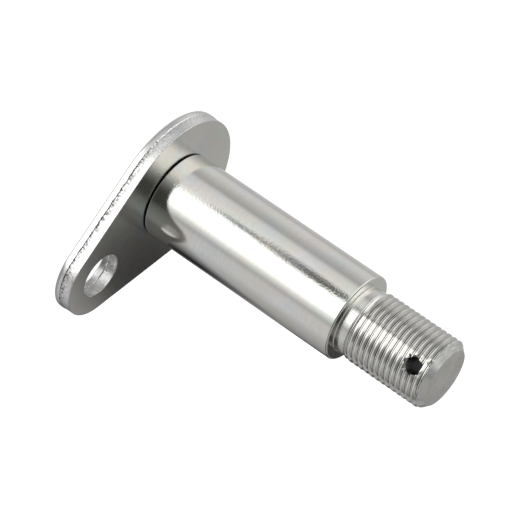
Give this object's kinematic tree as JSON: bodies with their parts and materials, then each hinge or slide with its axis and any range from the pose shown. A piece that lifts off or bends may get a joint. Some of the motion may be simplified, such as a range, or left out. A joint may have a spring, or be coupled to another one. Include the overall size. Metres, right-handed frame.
{
  "type": "tie rod pin",
  "caption": "Flanged pivot pin for a tie rod: drop-shaped flag plate with a bolt hole, smooth shank, relief neck and fine-threaded end with a split pin hole.",
  "frame": {"origin": "on the pin's axis, at the flag plate's flat back face", "axes": "+Z along the pin's axis towards the threaded end, +X towards the plate's tab, +Y across the plate"},
  "size_m": [0.0575, 0.04, 0.084],
  "materials": {
    "plate_steel": "satin zinc plate on blanked steel sheet",
    "pin_steel": "bright zinc plate on finely turned steel",
    "weld_steel": "zinc plate on dressed weld metal"
  },
  "bodies": {
    "root": {"flag_plate": "plate_steel", "turned_pin": "pin_steel", "weld_ring": "weld_steel"}
  },
  "joints": []
}
